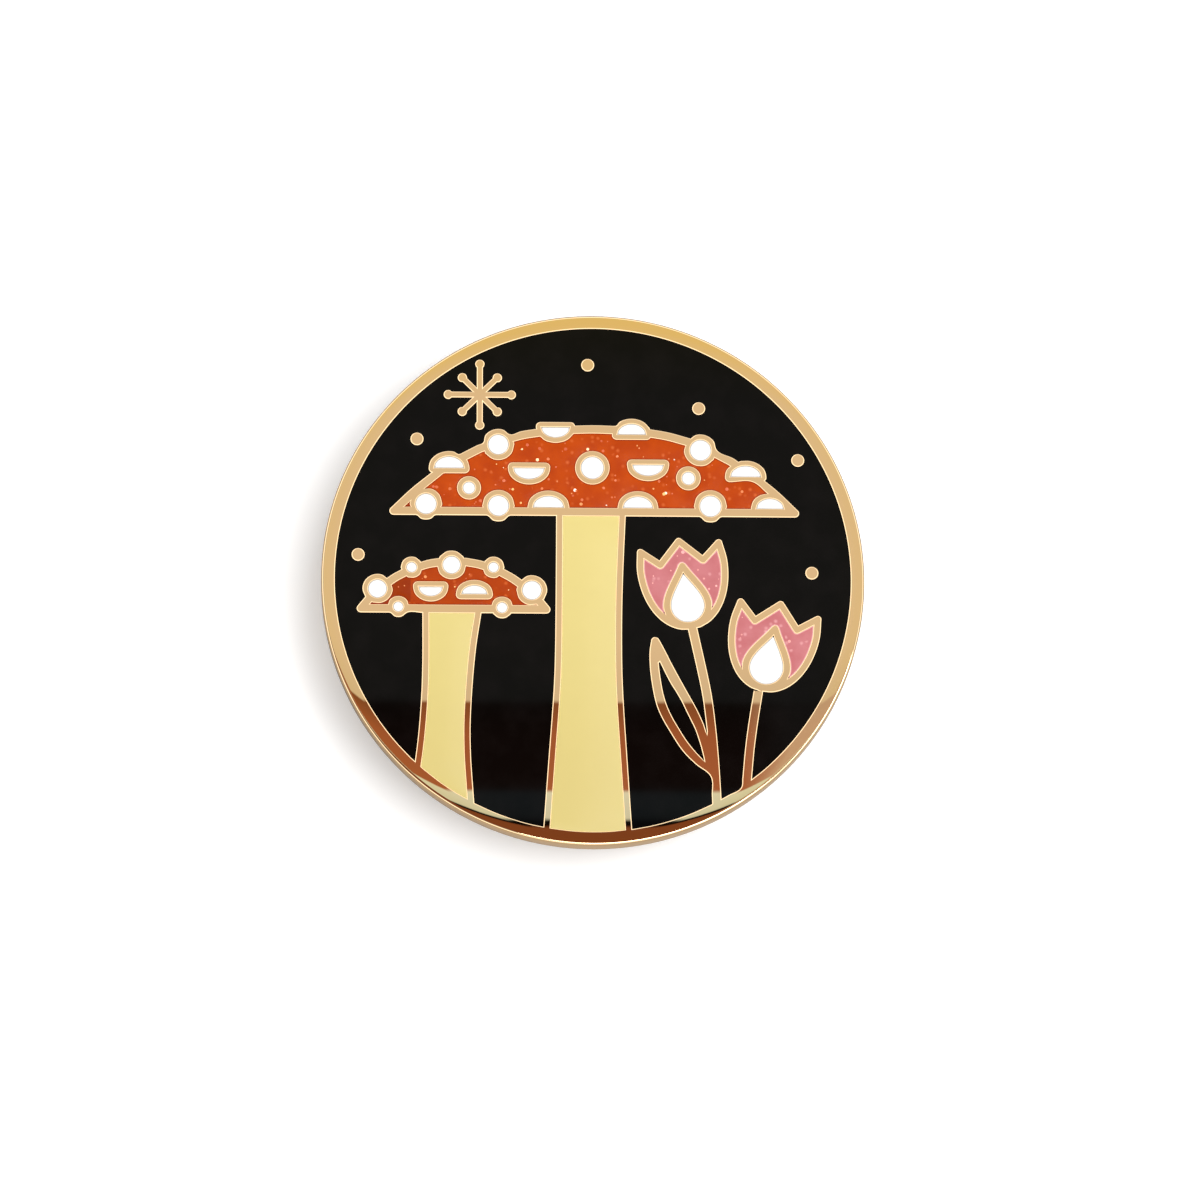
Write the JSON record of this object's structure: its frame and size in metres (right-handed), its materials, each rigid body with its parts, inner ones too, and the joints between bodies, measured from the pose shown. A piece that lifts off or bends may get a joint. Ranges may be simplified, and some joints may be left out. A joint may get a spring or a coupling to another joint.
{
  "type": "enamel lapel pin",
  "caption": "Round gold-rimmed hard enamel pin with toadstools and tulips on black, held to cloth by posts and butterfly clutches.",
  "frame": {"origin": "on the surface that the four clutch wings stand on, under the middle of the round face", "axes": "+Z out of the enamelled face, +Y towards the top of the picture, +X to the picture's right"},
  "size_m": [0.032, 0.032, 0.0078],
  "materials": {
    "gold_plated_plate": "polished gold plating on struck metal",
    "black_enamel": "polished hard enamel",
    "white_enamel": "polished hard enamel",
    "red_glitter_enamel": "polished translucent hard enamel with fine glitter",
    "pink_glitter_enamel": "polished translucent hard enamel with fine glitter",
    "yellow_enamel": "polished hard enamel",
    "plated_steel_post": "drawn wire, plated",
    "solder": "dull grey solder fillet",
    "spring_brass": "pressed brass sheet, lacquered"
  },
  "bodies": {
    "pin": {"struck_plate": "gold_plated_plate", "black_leaf": "black_enamel", "black_sky": "black_enamel", "pink_tulip_1": "pink_glitter_enamel", "pink_tulip_2": "pink_glitter_enamel", "red_large_cap": "red_glitter_enamel", "red_large_cap_pool_2": "red_glitter_enamel", "red_small_cap": "red_glitter_enamel", "white_large_cap_spot_1": "white_enamel", "white_large_cap_spot_10": "white_enamel", "white_large_cap_spot_11": "white_enamel", "white_large_cap_spot_12": "white_enamel", "white_large_cap_spot_13": "white_enamel", "white_large_cap_spot_14": "white_enamel", "white_large_cap_spot_15": "white_enamel", "white_large_cap_spot_16": "white_enamel", "white_large_cap_spot_17": "white_enamel", "white_large_cap_spot_2": "white_enamel", "white_large_cap_spot_3": "white_enamel", "white_large_cap_spot_4": "white_enamel", "white_large_cap_spot_5": "white_enamel", "white_large_cap_spot_6": "white_enamel", "white_large_cap_spot_7": "white_enamel", "white_large_cap_spot_8": "white_enamel", "white_large_cap_spot_9": "white_enamel", "white_small_cap_spot_1": "white_enamel", "white_small_cap_spot_2": "white_enamel", "white_small_cap_spot_3": "white_enamel", "white_small_cap_spot_4": "white_enamel", "white_small_cap_spot_5": "white_enamel", "white_small_cap_spot_6": "white_enamel", "white_small_cap_spot_7": "white_enamel", "white_small_cap_spot_8": "white_enamel", "white_small_cap_spot_9": "white_enamel", "white_tulip_heart_1": "white_enamel", "white_tulip_heart_2": "white_enamel", "yellow_large_stalk": "yellow_enamel", "yellow_small_stalk": "yellow_enamel", "left_post": "plated_steel_post", "left_post_solder": "solder", "right_post": "plated_steel_post", "right_post_solder": "solder"},
    "left_clutch": {"left_clutch_cap": "spring_brass", "left_clutch_spring_plate": "spring_brass"},
    "left_clutch_wing_a": {"left_clutch_wing_a": "spring_brass"},
    "left_clutch_wing_b": {"left_clutch_wing_b": "spring_brass"},
    "right_clutch": {"right_clutch_cap": "spring_brass", "right_clutch_spring_plate": "spring_brass"},
    "right_clutch_wing_a": {"right_clutch_wing_a": "spring_brass"},
    "right_clutch_wing_b": {"right_clutch_wing_b": "spring_brass"}
  },
  "joints": [
    {"name": "left_clutch_pull", "type": "slide", "parent": "pin", "child": "left_clutch", "axis": [0, 0, -1], "range_m": [0, 0.007]},
    {"name": "left_clutch_wing_a_squeeze", "type": "hinge", "parent": "left_clutch", "child": "left_clutch_wing_a", "pos_m": [-0.00605, 0, 0.00405], "axis": [0, 1, 0], "range_deg": [0, 12], "stiffness_Nm_per_rad": 0.02, "springref_deg": -11.46},
    {"name": "left_clutch_wing_b_squeeze", "type": "hinge", "parent": "left_clutch", "child": "left_clutch_wing_b", "pos_m": [-0.00995, 0, 0.00405], "axis": [0, -1, 0], "range_deg": [0, 12], "stiffness_Nm_per_rad": 0.02, "springref_deg": -11.46},
    {"name": "right_clutch_pull", "type": "slide", "parent": "pin", "child": "right_clutch", "axis": [0, 0, -1], "range_m": [0, 0.007]},
    {"name": "right_clutch_wing_a_squeeze", "type": "hinge", "parent": "right_clutch", "child": "right_clutch_wing_a", "pos_m": [0.00995, 0, 0.00405], "axis": [0, 1, 0], "range_deg": [0, 12], "stiffness_Nm_per_rad": 0.02, "springref_deg": -11.46},
    {"name": "right_clutch_wing_b_squeeze", "type": "hinge", "parent": "right_clutch", "child": "right_clutch_wing_b", "pos_m": [0.00605, 0, 0.00405], "axis": [0, -1, 0], "range_deg": [0, 12], "stiffness_Nm_per_rad": 0.02, "springref_deg": -11.46}
  ]
}
